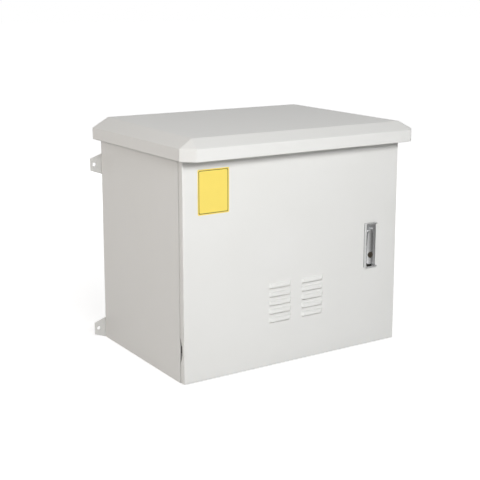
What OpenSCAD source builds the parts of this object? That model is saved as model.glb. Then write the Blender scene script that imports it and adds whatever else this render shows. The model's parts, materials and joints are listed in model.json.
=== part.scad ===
// Outdoor wall-mounted equipment cabinet: folded steel body, louvred door, rain hood.
// +X is the viewer's right, +Y runs back to the wall, +Z is up, origin under the middle.

/* [Body] */
// Width across the body's side walls
body_w = 600; // [560:1:800]
// Height of the body, floor underside to roof
body_h = 527; // [490:1:800]
// Depth of the body behind the door
body_d = 380; // [300:1:600]
// Thickness of the folded sheet
sheet = 1.5; // [1:0.1:2]
// Outer radius of the folded upright corners
bend_r = 3; // [2.5:0.1:5]
// Width of the front lips at the sides
lip_w = 24.5; // [23:0.5:32]
// Height of the floor plate's front lip
floor_lip_h = 24; // [20:0.5:32]
// Height of the weld flanges round floor and roof
tray_flange = 15; // [10:0.5:20]

/* [Hood] */
// Overhang of the hood past each side wall
hood_side_over = 20; // [14:0.5:40]
// Overhang of the hood in front of the door
hood_front_over = 50; // [30:1:90]
// Length of body covered by the hood's skirt
hood_lap = 24; // [18:0.5:40]
// Height of the upright skirt
skirt_h = 27.5; // [24:0.5:45]
// Pitch of the bevels round the top, degrees
bevel = 29; // [26:1:36]
// Rise from the skirt's top to the top's rear edge
hood_rise = 23.3; // [20:0.1:30]
// Fall of the top towards the front, mm per metre
hood_fall = 10; // [4:1:16]
// Chamfer across the skirt's front corners
hood_chamfer = 27; // [15:1:40]
// Distance of each bearer from the body's side face
bearer_in = 100; // [70:1:150]
// Width of the bearers' flanges
bearer_flange = 22; // [18:0.5:30]

/* [Wall ears] */
// Thickness of the ears
ear_t = 3; // [2.5:0.1:5]
// Reach of the ears past the side wall
ear_out = 28; // [25:0.5:40]
// Height of an ear where it meets the body
ear_root = 50; // [44:1:60]
// Height of an ear at its tip
ear_tip = 30; // [20:1:40]
// Distance of the ear's hole from the side wall
ear_hole_out = 18; // [14:0.5:19]
// Diameter of the wall bolt's hole
ear_hole_d = 9; // [7:0.5:11]
// Distance of the upper ears' middle below the hood's skirt
ear_drop = 63; // [40:1:150]

/* [Door] */
// Depth of the door pan
door_t = 18; // [17:0.1:24]
// Outer radius of the door pan's folds
door_bend = 2.5; // [1.5:0.1:3]
// Height of the door's lower edge above the base
door_lift = 2; // [1:0.1:4]
// Room between the door's top and the hood's skirt
door_hood_gap = 4; // [3:0.1:8]
// Width of the returns round the pan's rear edge
door_return = 10; // [8:0.1:11]
// Width of the foam seal
seal_w = 12; // [8:0.5:14]
// Thickness of the foam seal
seal_t = 8; // [6:0.1:9]

/* [Louvres] */
// Columns of louvres
louvre_columns = 2; // [1:1:3]
// Louvres in a column
louvre_rows = 5; // [3:1:8]
// Width of one louvre
louvre_w = 62; // [45:1:68]
// Height of one louvre
louvre_h = 10; // [8:0.5:13]
// Projection of a louvre from the door
louvre_out = 5.5; // [4:0.1:7]
// Gap between a louvre's lip and the cut below it
louvre_slit = 3.5; // [1:0.1:4]
// Run of a louvre's sloping ends
louvre_run = 7; // [4:0.1:10]
// Distance between the columns' middles
louvre_column_pitch = 91.5; // [80:0.5:100]
// Distance between louvres in a column
louvre_pitch = 20.2; // [17:0.1:24]
// Height of the lowest louvre's open edge
louvre_z = 107.5; // [90:0.5:140]
// Border of the filter frame round the louvres
filter_border = 14; // [11:0.5:20]
// Depth of the filter frame
filter_t = 11; // [8:0.5:13]

/* [Hinges] */
// Hinge axis, in from the body's outer side face
hinge_in = 5.5; // [5:0.1:6]
// Hinge axis, in front of the door's rear edge
hinge_from_rear = 6.5; // [6:0.1:8]
// Widest opening angle of the door
door_open = 110; // [95:1:115]
// Diameter of the hinge pins
hinge_pin_d = 4; // [3:0.1:4.5]
// Height of the lower hinge's middle
lower_hinge_z = 77; // [70:0.5:90]
// Length of the lower hinge
lower_hinge_len = 60; // [50:1:70]
// Length of the lower hinge's middle knuckle, on the body
body_knuckle = 16; // [12:1:30]
// Thickness of the hinge leaves
leaf_t = 2; // [1.5:0.1:2.4]

/* [Handle] */
// Middle of the handle's base from the body's side face
handle_from_side = 83; // [75:1:110]
// Height of the lower end of the handle's base
handle_z = 196.5; // [180:0.5:230]
// Width of the handle's base
base_w = 34; // [32:0.5:38]
// Height of the handle's base
base_h = 109.5; // [104:0.5:120]
// Height of the dish's rim in front of the door
base_t = 9; // [8.5:0.1:10]
// Distance of the lever from the base's middle, towards the closed wall
lever_off = 3.3; // [2:0.1:4]
// Width of the lever at its lower end
lever_w = 18; // [17:0.5:19]
// Width of the lever at its shoulders
lever_head_w = 15.5; // [14:0.5:16]
// Thickness of the lever
lever_t = 5; // [4.5:0.1:5.5]
// Diameter of the lock barrel
barrel_d = 15; // [13:0.5:15]
// Diameter of the lock core
core_d = 10.5; // [9:0.5:11]
// Diameter of the spindle at the handle's face
spindle_d = 14; // [14:0.1:16]

/* [Rack and cables] */
// Distance of the rack rails behind the body's front
rack_setback = 55; // [40:1:150]
// Height of the lower depth rails' middle
lower_rail_z = 82; // [70:1:110]
// Distance of the upper depth rails' middle below the roof
upper_rail_drop = 89; // [70:1:110]
// Thickness of the rails
rail_t = 2; // [1.5:0.1:2.5]
// Width of the cable opening in the floor
cable_w = 260; // [200:1:320]
// Depth of the cable opening in the floor
cable_d = 100; // [70:1:140]
// Diameter of the cable grommets' holes
grommet_d = 38; // [25:1:50]

/* [Hidden] */
$fn = 48;

// Clearances
fit = 0.05;
run_gap = 0.3;
swing_gap = 0.4;
weld_gap = 0.2;
hole_gap = 0.3;
eps = 1;

// Fasteners: shank radius, head or nut radius over corners, head height, nut height
m4_r = 2;
m4_hex_r = 4;
m4_nut = 3.2;
m6_r = 3;
m6_hex_r = 5.8;
m6_head = 4;
m6_nut = 5;
thread_end = 2;

// Heights
skirt_z = body_h - hood_lap;
door_top = skirt_z - door_hood_gap;
roof_z = body_h - sheet;
seal_in = 22;
roof_lip_z = door_top - seal_in;

// Planes from front to wall; the door needs its gap to swing on the set-in hinge
door_gap = norm([hinge_in, hinge_from_rear]) - hinge_from_rear + swing_gap;
y_wall = (hood_front_over + door_t + door_gap + body_d + ear_t) / 2;
y_back = y_wall - ear_t;
y_frame = y_back - body_d;
y_rear = y_frame - door_gap;
y_face = y_rear - door_t;
y_pan = y_face + sheet;
y_rim = y_pan + seal_t + run_gap;

// Sides
x_side = body_w / 2;
x_wall = x_side - sheet;
x_lip = x_side - lip_w;

// Hood
hood_y = y_back + run_gap + sheet;
hood_top_z = skirt_z + skirt_h + hood_rise;
bevel_run = 1 / tan(bevel);
fall = hood_fall / 1000;
function top_z(y) = hood_top_z - fall * (hood_y - y);
function under_top(y) = top_z(y) - sheet;
bearer_end = 24;
bearer_y0 = y_frame + bearer_end;
bearer_y1 = y_back - bearer_end;
bearer_bolt_in = 30;
bearer_x = x_side - bearer_in;
bearer_bolts = [for (y = [bearer_y0 + bearer_bolt_in, bearer_y1 - bearer_bolt_in]) y];
bearer_web_x = bearer_x - sheet / 2;
bearer_bolt_x = bearer_web_x - bearer_flange / 2;

// Roof vents under the hood
vent_len = 90;
vent_w = 6;
vent_pitch = 24;
vent_room = 30;
vents_per_side = floor((bearer_x - bearer_flange - vent_room) / vent_pitch);
vent_count = 2 * vents_per_side + 1;
vent_rows = [0.3, 0.7];

// Ears
ear_lap = 36;
ear_stud_x = x_side - ear_lap / 2;
ear_stud_dz = 12;
ear_z = ear_root / 2;
ear_pitch = skirt_z - ear_drop - ear_z;
stud_len = sheet + m6_nut + thread_end;

// Hinges
x_hinge = -x_side + hinge_in;
y_hinge = y_rear - hinge_from_rear;
pin_r = hinge_pin_d / 2;
knuckle_r = hinge_in - sheet - 2 * fit;
knuckle_half = body_knuckle / 2;
leaf_foot = 16;
right_angle = 90;
past_square = door_open - right_angle;
notch_y = y_hinge - hinge_in * tan(past_square) - leaf_t / 2 / cos(past_square) - run_gap;
notch_flat = knuckle_half + 2 * swing_gap;
notch_run = 5;
notch_z = lower_hinge_len / 2 + notch_run;
pin_head = 2;
bush_wall = 0.8;
bush_r = pin_r + fit + bush_wall;
bush_collar_in = 0.8;
bush_collar_r = hinge_in - bush_collar_in;
bush_collar = 1.2;
bush_len = 10;
bracket_t = 3;
bracket_w = 20;
bracket_leg = 16;
bracket_front = 6.7;
bracket_z = door_top + bush_collar + run_gap;

// Louvres: an arc that stands upright at the lip and runs down to sloping ends
louvre_t = 1.2;
louvre_round = 3;
louvre_slope = louvre_run / louvre_out;
louvre_r = (louvre_h * louvre_h + louvre_out * louvre_out) / (2 * louvre_out);
louvre_axis = y_face + louvre_r - louvre_out;
louvre_xs = [for (i = [0 : louvre_columns - 1]) (i - (louvre_columns - 1) / 2) * louvre_column_pitch];
louvre_zs = [for (i = [0 : louvre_rows - 1]) louvre_z + i * louvre_pitch];

// Filter behind the louvres
louvre_span = (louvre_columns - 1) * louvre_column_pitch + louvre_w;
louvre_rise = (louvre_rows - 1) * louvre_pitch + louvre_h;
filter_w = louvre_span + 2 * filter_border;
filter_h = louvre_rise + 2 * filter_border;
filter_z = louvre_z + louvre_rise / 2;
filter_flange = 14;
filter_sheet = 1;
filter_stud_x = filter_w / 2 + filter_flange / 2;
filter_stud_z = filter_h / 2 + filter_flange / 2;
filter_slot_h = 7;

// Handle: a dish with a closed wall, a head and a foot, open on the side the lever turns to
x_base = x_side - handle_from_side;
x_handle = x_base - lever_off;
handle_gasket_t = 1;
y_base = y_face - handle_gasket_t;
y_rim_face = y_face - base_t;
dish_floor = 1.8;
y_dish = y_base - dish_floor;
rim_wall = 2.2;
rim_foot = 4;
base_corner = 2;
dish_corner = 1.5;
head_in = 12.5;
z_spindle = handle_z + base_h - head_in;
spindle_tail_r = 5;
spindle_seat = 3;
y_shoulder = y_base + spindle_seat;
base_cover = 3;
block_w = base_w - 2 * base_cover;
block_in = 2.5;
block_wall = 1.5;
block_depth = 8;
block_y = y_pan + block_depth;
block_z = [handle_z + block_in, z_spindle + spindle_d / 2 + fit + block_wall];
cut_room = 0.5;
lever_gap = 0.4;
lever_back = y_dish - lever_gap;
lever_front = lever_back - lever_t;
y_lever_pin = lever_back - lever_t / 2;
lever_pin_r = 1.25;
pin_short = 0.4;
tongue_w = 7;
cheek_t = 2.4;
cheek_x = tongue_w / 2 + weld_gap;
neck_len = 5;
shoulder_len = 8;
pocket_w = 19;
pocket_h = 5.5;
pocket_under = 2;
pocket_depth = 8;
pad_wall = 1.5;
lever_tip = handle_z + rim_foot + pocket_h;
lever_corner = 4;
lock_up = 22.5;
lock_z = lever_tip + lock_up;
crown = 2;
crown_r = (lever_w * lever_w / 4 + crown * crown) / (2 * crown);
barrel_proud = 0.6;
key_slot_w = 1.6;
key_slot_l = 6;
key_slot_in = 3;
clamp_t = 2;
clamp_z = [block_z[0], z_spindle - spindle_tail_r - block_wall];
screw_in = 5;
screw_zs = [for (quarter = [1, 3]) clamp_z[0] + quarter * (clamp_z[1] - clamp_z[0]) / 4];

// Latch cam behind the lip; its tip stops short of the rim
cam_t = 3;
cam_w = 16;
cam_gap = 2.5;
cam_tip_gap = 2;
cam_y = y_frame + sheet + cam_gap;
cam_square = 8;
cam_hub = 2;
cam_washer = 1.6;
cam_bolt_len = 10;
cam_reach = x_lip - cam_tip_gap - x_handle;

// Rack rails: 465.1 mm between hole columns, three holes in each 44.45 mm unit
rack_hole_pitch = 465.1;
rack_hole_x = rack_hole_pitch / 2;
rack_unit = 44.45;
rack_hole = 9.5;
rack_hole_at = [1 / 7, 1 / 2, 6 / 7] * rack_unit;
rack_edge = 7.3;
rack_face = 27;
rack_leg = 32;
rack_end = 15;
rack_room = 45;
rack_x0 = rack_hole_x - rack_edge;
rack_x1 = rack_x0 + rack_face;
rack_y = y_frame + rack_setback;
rack_units = floor((body_h - 2 * rack_room - 2 * rack_end) / rack_unit);
rack_h = rack_units * rack_unit + 2 * rack_end;
depth_rails = [lower_rail_z, body_h - upper_rail_drop];
rack_mid = (depth_rails[0] + depth_rails[1]) / 2;
rack_z = rack_mid - rack_h / 2;
rail_bolt_y = rack_y + rack_leg / 2 + rail_t;
depth_rail_h = 40;
depth_rail_foot = 12;
depth_rail_in = 18;
rail_slot = 60;
rail_slot_pitch = 90;

// Cable entry in the floor
cable_from_back = 40;
cable_y = y_back - cable_from_back - cable_d / 2;
gland_lap = 20;
gland_t = 1.5;
gland_screws_x = [-1, 0, 1];
grommet_count = 3;
grommet_rim = 4;
grommet_chamfer = 1;
grommet_in = 6;
grommet_neck = 5;
grommet_flange = 3;
grommet_collar = 8;
grommet_skin = 2;
grommet_lift = 0.25;
grommet_xs = [for (i = [0 : grommet_count - 1]) (i - (grommet_count - 1) / 2) * cable_w / grommet_count];
earth_in = 60;
earth_x = -x_wall + earth_in;
earth_y = y_frame + earth_in;
earth_r = 4;
earth_h = 30;
earth_hex_r = 7.5;
earth_washer = 2;
earth_nut = 7;

// Colours
paint = [0.87, 0.87, 0.86];
zinc = [0.72, 0.73, 0.74];
chrome = [0.8, 0.81, 0.82];
black = [0.08, 0.08, 0.08];
brass = [0.72, 0.57, 0.3];
dark = [0.2, 0.19, 0.17];

// A block between two corners
module block(x, y, z) {
  translate([x[0], y[0], z[0]])
    cube([x[1] - x[0], y[1] - y[0], z[1] - z[0]]);
}

// An outline in x and z, carried from y[0] to y[1]
module along_y(y) {
  translate([0, y[1], 0])
    rotate([90, 0, 0])
      linear_extrude(y[1] - y[0])
        children();
}

// An outline in y and z, carried from x[0] to x[1]
module along_x(x) {
  translate([x[0], 0, 0])
    rotate([90, 0, 90])
      linear_extrude(x[1] - x[0])
        children();
}

// Round or hexagonal rods along each axis
module rod_x(x, y, z, r, sides = $fn) {
  translate([x[0], y, z])
    rotate([0, 90, 0])
      cylinder(h = x[1] - x[0], r = r, $fn = sides);
}

module rod_y(x, y, z, r, sides = $fn) {
  translate([x, y[0], z])
    rotate([-90, 0, 0])
      cylinder(h = y[1] - y[0], r = r, $fn = sides);
}

module rod_z(x, y, z, r, sides = $fn) {
  translate([x, y, z[0]])
    cylinder(h = z[1] - z[0], r = r, $fn = sides);
}

// Both sides of the cabinet from one right-hand shape
module both_sides() {
  children();
  mirror([1, 0, 0])
    children();
}

// A rectangle between two corners with round corners
module round_rect(x, y, r) {
  translate([x[0] + r, y[0]])
    square([x[1] - x[0] - 2 * r, y[1] - y[0]]);
  translate([x[0], y[0] + r])
    square([x[1] - x[0], y[1] - y[0] - 2 * r]);
  for (cx = [x[0] + r, x[1] - r], cy = [y[0] + r, y[1] - r])
    translate([cx, cy])
      circle(r);
}

// A slot with round ends, centred
module slot(length, width) {
  square([length - width, width], center = true);
  for (side = [-1, 1])
    translate([side * (length - width) / 2, 0])
      circle(width / 2);
}

// Plan of the folded wrap: sides, back and front lips from one strip
module wrap_plan() {
  difference() {
    round_rect([-x_side, x_side], [y_frame, y_back], bend_r);
    round_rect([-x_wall, x_wall], [y_frame + sheet, y_back - sheet], bend_r - sheet);
    translate([-x_lip, y_frame - eps])
      square([2 * x_lip, 2 * sheet + eps]);
  }
}

module body_wrap() {
  color(paint)
    difference() {
      union() {
        linear_extrude(body_h)
          wrap_plan();
        both_sides()
          block([x_lip, x_lip + sheet], [y_rim, y_frame + sheet], [floor_lip_h, roof_lip_z]);
      }
      ear_stud_holes();
      hinge_slot();
    }
}

// Where each ear stands: side and height of its middle
module at_ears() {
  for (side = [0, 1], z = [ear_z, ear_z + ear_pitch])
    mirror([side, 0, 0])
      translate([0, 0, z])
        children();
}

module ear_stud_holes() {
  at_ears()
    for (dz = [-ear_stud_dz, ear_stud_dz])
      rod_y(ear_stud_x, [y_back - sheet - eps, y_back + eps], dz, m6_r + hole_gap);
}

// Slot in the left lip that the lower hinge's leaf passes through
module hinge_slot() {
  half = knuckle_half + weld_gap;
  block([x_hinge - leaf_t / 2 - weld_gap, x_hinge + leaf_t / 2 + weld_gap],
        [y_frame - eps, y_frame + sheet + eps],
        [lower_hinge_z - half, lower_hinge_z + half]);
}

// Plan of the floor and roof sheets: between the side walls, and forward between the lips
module tray_plan() {
  corner = bend_r;
  polygon([
    [-x_lip, y_frame], [x_lip, y_frame], [x_lip, y_frame + sheet], [x_wall - corner, y_frame + sheet],
    [x_wall, y_frame + sheet + corner], [x_wall, y_back - sheet - corner],
    [x_wall - corner, y_back - sheet], [-x_wall + corner, y_back - sheet],
    [-x_wall, y_back - sheet - corner], [-x_wall, y_frame + sheet + corner],
    [-x_wall + corner, y_frame + sheet], [-x_lip, y_frame + sheet]
  ]);
}

// Weld flanges along the sides and the back of a tray
module tray_flanges(z) {
  rear_half = x_side - ear_lap;
  both_sides()
    block([x_wall - sheet, x_wall], [y_frame + lip_w, y_back - 2 * sheet - bend_r], z);
  block([-rear_half, rear_half], [y_back - 2 * sheet, y_back - sheet], z);
}

module roof_plate() {
  color(paint)
    difference() {
      union() {
        translate([0, 0, roof_z])
          linear_extrude(sheet)
            tray_plan();
        tray_flanges([roof_z - tray_flange, body_h]);
        block([-x_lip, x_lip], [y_frame, y_frame + sheet], [roof_lip_z, body_h]);
        block([-x_lip - sheet, x_lip + sheet], [y_rim, y_frame], [roof_lip_z, roof_lip_z + sheet]);
        block([-x_lip, x_lip], [y_frame - eps, y_frame + sheet], [roof_lip_z, roof_lip_z + sheet]);
      }
      both_sides()
        for (y = bearer_bolts)
          rod_z(bearer_bolt_x, y, [roof_z - eps, body_h + eps], m6_r + hole_gap);
      roof_vents();
    }
}

module roof_vents() {
  for (row = vent_rows, i = [0 : vent_count - 1])
    translate([(i - (vent_count - 1) / 2) * vent_pitch, y_frame + row * body_d, roof_z - eps])
      rotate(90)
        linear_extrude(sheet + 2 * eps)
          slot(vent_len, vent_w);
}

module floor_plate() {
  color(paint)
    difference() {
      union() {
        linear_extrude(sheet)
          tray_plan();
        tray_flanges([0, tray_flange]);
        block([-x_lip, x_lip], [y_frame, y_frame + sheet], [0, floor_lip_h]);
        block([-x_lip - sheet, x_lip + sheet], [y_rim, y_frame], [floor_lip_h - sheet, floor_lip_h]);
        block([-x_lip, x_lip], [y_frame - eps, y_frame + sheet], [floor_lip_h - sheet, floor_lip_h]);
      }
      translate([-cable_w / 2, cable_y - cable_d / 2, -eps])
        cube([cable_w, cable_d, sheet + 2 * eps]);
      at_gland_screws()
        rod_z(0, 0, [-eps, sheet + eps], m4_r + fit);
    }
}

// The hood's envelope, set in by a wall thickness for its inside
module hood_form(inset, drop) {
  half_w = x_side + hood_side_over - inset;
  front = y_face - hood_front_over + inset;
  back = hood_y - inset;
  chamfer = hood_chamfer - inset * (2 - sqrt(2));
  skirt_top = skirt_z + skirt_h - inset * tan(45 - bevel / 2);
  flat = top_z(0) - inset - skirt_top;
  top_front = (front + bevel_run * flat) / (1 - bevel_run * fall);
  corners = [
    for (end = [top_front, back], side = [-1, 1])
      [side * (half_w - bevel_run * (flat + fall * end)), end, top_z(end) - inset]
  ];
  hull() {
    translate([0, 0, skirt_z - drop])
      linear_extrude(skirt_top - skirt_z + drop)
        polygon([
          [-half_w, back], [-half_w, front + chamfer], [-half_w + chamfer, front],
          [half_w - chamfer, front], [half_w, front + chamfer], [half_w, back]
        ]);
    polyhedron(
      points = concat(corners, [[0, 0, skirt_z]]),
      faces = [[0, 1, 3, 2], [1, 0, 4], [3, 1, 4], [2, 3, 4], [0, 2, 4]]
    );
  }
}

module rain_hood() {
  color(paint)
    difference() {
      hood_form(0, 0);
      hood_form(sheet, eps);
    }
}

// One right-hand bearer: a Z fold whose top flange follows the hood's fall
module bearer() {
  ends = [bearer_y0, bearer_y1];
  difference() {
    union() {
      along_x([bearer_web_x, bearer_web_x + sheet])
        polygon([
          [ends[0], body_h], [ends[1], body_h], [ends[1], under_top(ends[1])], [ends[0], under_top(ends[0])]
        ]);
      along_x([bearer_web_x, bearer_web_x + bearer_flange])
        polygon([
          [ends[0], under_top(ends[0]) - sheet], [ends[1], under_top(ends[1]) - sheet],
          [ends[1], under_top(ends[1])], [ends[0], under_top(ends[0])]
        ]);
      block([bearer_web_x - bearer_flange, bearer_web_x + sheet], ends, [body_h, body_h + sheet]);
    }
    for (y = bearer_bolts)
      rod_z(bearer_bolt_x, y, [body_h - eps, body_h + sheet + eps], m6_r + hole_gap);
  }
}

module hood_bearer_left() {
  color(paint)
    mirror([1, 0, 0])
      bearer();
}

module hood_bearer_right() {
  color(paint)
    bearer();
}

module hood_bolts() {
  color(zinc)
    both_sides()
      for (y = bearer_bolts) {
        rod_z(bearer_bolt_x, y, [roof_z - m6_head, roof_z], m6_hex_r, 6);
        rod_z(bearer_bolt_x, y, [roof_z - m6_head, body_h + sheet + m6_nut + thread_end], m6_r);
      }
}

module hood_nuts() {
  color(zinc)
    both_sides()
      for (y = bearer_bolts)
        difference() {
          rod_z(bearer_bolt_x, y, [body_h + sheet, body_h + sheet + m6_nut], m6_hex_r, 6);
          rod_z(bearer_bolt_x, y, [body_h, body_h + sheet + m6_nut + eps], m6_r + fit);
        }
}

// One right-hand wall ear, its middle at z = 0, with two weld studs into the body
module wall_ear() {
  color(paint) {
    difference() {
      along_y([y_back, y_wall])
        polygon([
          [x_side - ear_lap, -ear_root / 2], [x_side, -ear_root / 2], [x_side + ear_out, -ear_tip / 2],
          [x_side + ear_out, ear_tip / 2], [x_side, ear_root / 2], [x_side - ear_lap, ear_root / 2]
        ]);
      rod_y(x_side + ear_hole_out, [y_back - eps, y_wall + eps], 0, ear_hole_d / 2);
    }
    for (dz = [-ear_stud_dz, ear_stud_dz])
      rod_y(ear_stud_x, [y_back - stud_len, y_back + eps], dz, m6_r);
  }
}

module wall_ear_at(side, z) {
  mirror([side, 0, 0])
    translate([0, 0, z])
      wall_ear();
}

module wall_ear_lower_left() {
  wall_ear_at(1, ear_z);
}

module wall_ear_lower_right() {
  wall_ear_at(0, ear_z);
}

module wall_ear_upper_left() {
  wall_ear_at(1, ear_z + ear_pitch);
}

module wall_ear_upper_right() {
  wall_ear_at(0, ear_z + ear_pitch);
}

module ear_nuts() {
  color(zinc)
    at_ears()
      for (dz = [-ear_stud_dz, ear_stud_dz])
        difference() {
          rod_y(ear_stud_x, [y_back - sheet - m6_nut, y_back - sheet], dz, m6_hex_r, 6);
          rod_y(ear_stud_x, [y_back - stud_len - eps, y_back], dz, m6_r + fit);
        }
}

// One right-hand depth rail: a hat section on the side wall, slotted for the rack rails
module depth_rail(z) {
  half = depth_rail_h / 2;
  y = [y_frame + depth_rail_in, y_back - depth_rail_in];
  color(zinc)
    difference() {
      union() {
        block([rack_x1, rack_x1 + rail_t], y, [z - half, z + half]);
        for (edge = [z - half, z + half - rail_t])
          block([rack_x1, x_wall], y, [edge, edge + rail_t]);
        block([x_wall - rail_t, x_wall], y, [z + half - rail_t, z + half + depth_rail_foot]);
        block([x_wall - rail_t, x_wall], y, [z - half - depth_rail_foot, z - half + rail_t]);
      }
      for (at = [rail_bolt_y : rail_slot_pitch : y[1] - rail_slot / 2 - rail_t])
        translate([0, at, z])
          along_x([rack_x1 - eps, rack_x1 + rail_t + eps])
            slot(rail_slot, 2 * (m6_r + hole_gap));
    }
}

module depth_rail_lower_left() {
  mirror([1, 0, 0])
    depth_rail(depth_rails[0]);
}

module depth_rail_lower_right() {
  depth_rail(depth_rails[0]);
}

module depth_rail_upper_left() {
  mirror([1, 0, 0])
    depth_rail(depth_rails[1]);
}

module depth_rail_upper_right() {
  depth_rail(depth_rails[1]);
}

// One right-hand rack rail: an angle with square holes in its face
module rack_rail() {
  color(zinc)
    difference() {
      union() {
        block([rack_x0, rack_x1], [rack_y, rack_y + rail_t], [rack_z, rack_z + rack_h]);
        block([rack_x1 - rail_t, rack_x1], [rack_y, rack_y + rack_leg], [rack_z, rack_z + rack_h]);
      }
      for (unit = [0 : rack_units - 1], at = rack_hole_at)
        translate([rack_hole_x, rack_y, rack_z + rack_end + unit * rack_unit + at])
          cube([rack_hole, 3 * rail_t, rack_hole], center = true);
      for (z = depth_rails)
        rod_x([rack_x1 - rail_t - eps, rack_x1 + eps], rail_bolt_y, z, m6_r + hole_gap);
    }
}

module rack_rail_left() {
  mirror([1, 0, 0])
    rack_rail();
}

module rack_rail_right() {
  rack_rail();
}

module rail_bolts() {
  inner = rack_x1 - rail_t;
  color(zinc)
    both_sides()
      for (z = depth_rails) {
        rod_x([inner - m6_head, inner], rail_bolt_y, z, m6_hex_r, 6);
        rod_x([inner - m6_head, rack_x1 + rail_t + m6_nut + thread_end], rail_bolt_y, z, m6_r);
      }
}

module rail_nuts() {
  outer = rack_x1 + rail_t;
  color(zinc)
    both_sides()
      for (z = depth_rails)
        difference() {
          rod_x([outer, outer + m6_nut], rail_bolt_y, z, m6_hex_r, 6);
          rod_x([outer - eps, outer + m6_nut + eps], rail_bolt_y, z, m6_r + fit);
        }
}

// Screws round the cable opening
module at_gland_screws() {
  for (side = gland_screws_x, end = [-1, 1])
    translate([side * (cable_w + gland_lap) / 2, cable_y + end * (cable_d + gland_lap) / 2, 0])
      children();
}

module gland_plate() {
  half_w = cable_w / 2 + gland_lap;
  half_d = cable_d / 2 + gland_lap;
  color(zinc)
    difference() {
      block([-half_w, half_w], [cable_y - half_d, cable_y + half_d], [sheet, sheet + gland_t]);
      for (x = grommet_xs)
        rod_z(x, cable_y, [0, sheet + gland_t + eps], grommet_d / 2);
      at_gland_screws()
        rod_z(0, 0, [0, sheet + gland_t + eps], m4_r + hole_gap);
    }
}

module gland_screws() {
  top = sheet + gland_t;
  color(zinc)
    at_gland_screws() {
      rod_z(0, 0, [0, top + eps], m4_r);
      rod_z(0, 0, [top, top + m4_nut], m4_hex_r, 6);
    }
}

// Blind rubber grommets: a groove round the plate's hole and a stepped membrane
module cable_grommets() {
  r = grommet_d / 2;
  rim = r + grommet_rim;
  seat = r - grommet_in;
  neck = seat - grommet_neck;
  top = sheet + gland_t;
  color(black)
    for (x = grommet_xs)
      translate([x, cable_y, 0])
        rotate_extrude()
          polygon([
            [0, top], [seat, top], [seat, grommet_lift], [rim, grommet_lift], [rim, sheet - fit],
            [r - fit, sheet - fit], [r - fit, top + fit], [rim, top + fit],
            [rim - grommet_chamfer, top + grommet_flange], [seat + grommet_skin, top + grommet_flange],
            [seat, top + grommet_collar], [neck, top + grommet_collar], [neck, top + grommet_skin],
            [0, top + grommet_skin]
          ]);
}

module earth_stud() {
  color(brass) {
    rod_z(earth_x, earth_y, [sheet, sheet + earth_h], earth_r);
    rod_z(earth_x, earth_y, [sheet, sheet + earth_washer], earth_hex_r + earth_washer);
    rod_z(earth_x, earth_y, [sheet, sheet + earth_washer + earth_nut], earth_hex_r, 6);
  }
}

// Angle on the left lip, above the door, that carries the upper pin
module upper_hinge_bracket() {
  x = [x_hinge - bush_collar_r, x_hinge - bush_collar_r + bracket_w];
  color(paint)
    difference() {
      union() {
        block(x, [y_hinge - bracket_front, y_frame], [bracket_z, bracket_z + bracket_t]);
        block(x, [y_frame - bracket_t, y_frame], [bracket_z, bracket_z + bracket_leg]);
      }
      rod_z(x_hinge, y_hinge, [bracket_z - eps, bracket_z + bracket_t + eps], pin_r + fit);
    }
}

module upper_hinge_pin() {
  top = bracket_z + bracket_t;
  color(zinc) {
    rod_z(x_hinge, y_hinge, [door_top - bush_len - thread_end, top + eps], pin_r);
    rod_z(x_hinge, y_hinge, [top, top + pin_head], knuckle_r);
  }
}

module upper_hinge_bush() {
  color(black)
    difference() {
      union() {
        rod_z(x_hinge, y_hinge, [door_top - bush_len, door_top + bush_collar], bush_r);
        rod_z(x_hinge, y_hinge, [door_top, door_top + bush_collar], bush_collar_r);
      }
      rod_z(x_hinge, y_hinge, [door_top - bush_len - eps, door_top + bush_collar + eps], pin_r + fit);
    }
}

// Body leaf: middle knuckle, straight through the lip, and a foot behind it
module lower_hinge_leaf() {
  z = [lower_hinge_z - knuckle_half, lower_hinge_z + knuckle_half];
  foot_y = y_frame + sheet;
  color(dark)
    difference() {
      union() {
        rod_z(x_hinge, y_hinge, z, knuckle_r);
        block([x_hinge - leaf_t / 2, x_hinge + leaf_t / 2], [y_hinge, foot_y + leaf_t], z);
        block([x_hinge - leaf_t / 2, x_hinge + leaf_foot], [foot_y, foot_y + leaf_t], z);
      }
      rod_z(x_hinge, y_hinge, [z[0] - eps, z[1] + eps], pin_r + fit);
    }
}

// Door leaf: a plate on the flange's inside with a knuckle above and below the body's
module lower_hinge_door_leaf() {
  low = lower_hinge_z - lower_hinge_len / 2;
  high = lower_hinge_z + lower_hinge_len / 2;
  ends = [
    [low, lower_hinge_z - knuckle_half - weld_gap],
    [lower_hinge_z + knuckle_half + weld_gap, high]
  ];
  color(dark)
    difference() {
      union() {
        block([-x_wall, -x_wall + sheet], [y_pan, notch_y - run_gap], [low, high]);
        for (z = ends) {
          rod_z(x_hinge, y_hinge, z, knuckle_r);
          block([-x_wall, -x_wall + sheet], [y_pan, y_hinge], z);
        }
      }
      rod_z(x_hinge, y_hinge, [low - eps, high + eps], pin_r + fit);
    }
}

module lower_hinge_pin() {
  low = lower_hinge_z - lower_hinge_len / 2 - weld_gap;
  high = lower_hinge_z + lower_hinge_len / 2;
  color(dark) {
    rod_z(x_hinge, y_hinge, [low - eps, high + thread_end], pin_r);
    rod_z(x_hinge, y_hinge, [low - pin_head, low], knuckle_r);
  }
}

// The door: pan with returns, louvres, handle cut-out and hinge cut-out
module door_panel() {
  color(paint)
    difference() {
      union() {
        door_pan();
        at_louvres()
          louvre_form(0);
        at_filter_studs()
          rod_y(0, [y_face + sheet / 2, y_pan + filter_sheet + m4_nut + thread_end], 0, m4_r);
      }
      at_louvres()
        louvre_form(louvre_t);
      handle_cutout();
      hinge_notch();
      rod_z(x_hinge, y_hinge, [door_top - 2 * sheet, door_top + eps], bush_r + fit);
    }
}

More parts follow.
